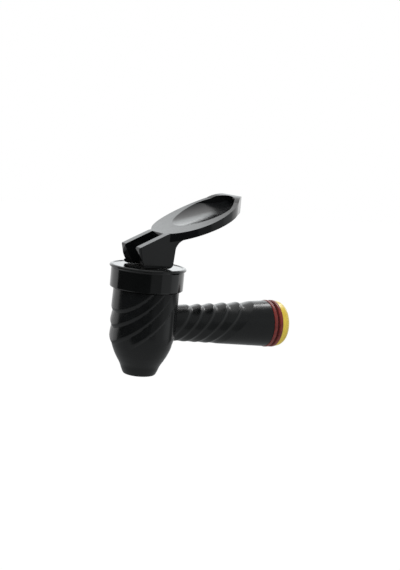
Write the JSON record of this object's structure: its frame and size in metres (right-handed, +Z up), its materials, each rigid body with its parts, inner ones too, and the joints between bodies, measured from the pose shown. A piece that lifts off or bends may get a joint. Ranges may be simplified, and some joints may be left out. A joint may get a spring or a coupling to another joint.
{
  "type": "lever-operated samovar tap",
  "caption": "Black plastic lever tap for a samovar or urn: fluted barrel and shank, round cap, dished thumb lever, coloured sealing washers and a back nut.",
  "frame": {"origin": "on the shank's axis, where the outer washer meets the tank's outer wall", "axes": "+Y along the shank into the tank, +Z up, the outlet points to -Z"},
  "size_m": [0.0405, 0.0928, 0.0866],
  "materials": {
    "body_plastic": "satin gloss moulded black",
    "cap_plastic": "polished black",
    "slip_plastic": "smooth black low-friction plastic",
    "stem_plastic": "smooth black",
    "pin_steel": "ground",
    "spring_steel": "drawn wire",
    "cup_silicone": "soft translucent white",
    "lever_plastic": "polished black",
    "red_silicone": "soft dark red",
    "nut_plastic": "satin yellow"
  },
  "bodies": {
    "tap": {"tap_body": "body_plastic", "bonnet_cap": "cap_plastic", "seat_cup": "cup_silicone", "closing_spring": "spring_steel", "outer_washer": "red_silicone", "inner_washer": "red_silicone", "back_nut": "nut_plastic"},
    "turret": {"slip_washer": "slip_plastic"},
    "stem": {"valve_stem": "stem_plastic"},
    "lever": {"lever": "lever_plastic", "pivot_pin": "pin_steel"}
  },
  "joints": [
    {"name": "lever_swivel", "type": "hinge", "parent": "tap", "child": "turret", "pos_m": [0, -0.0667, 0.0263], "axis": [0, 0, 1], "continuous": true},
    {"name": "stem_lift", "type": "slide", "parent": "turret", "child": "stem", "axis": [0, 0, 1], "range_m": [0, 0.00207], "stiffness_N_per_m": 860, "springref_m": -0.005, "deforming": ["closing_spring", "seat_cup"]},
    {"name": "lever_tilt", "type": "hinge", "parent": "stem", "child": "lever", "pos_m": [0, -0.0667, 0.0326], "axis": [-0.9945, -0.1045, 0], "range_deg": [0, 22]}
  ],
  "couplings": [
    {"joint": "lever_tilt", "follows": "stem_lift", "rad_per_m": 185.19}
  ]
}
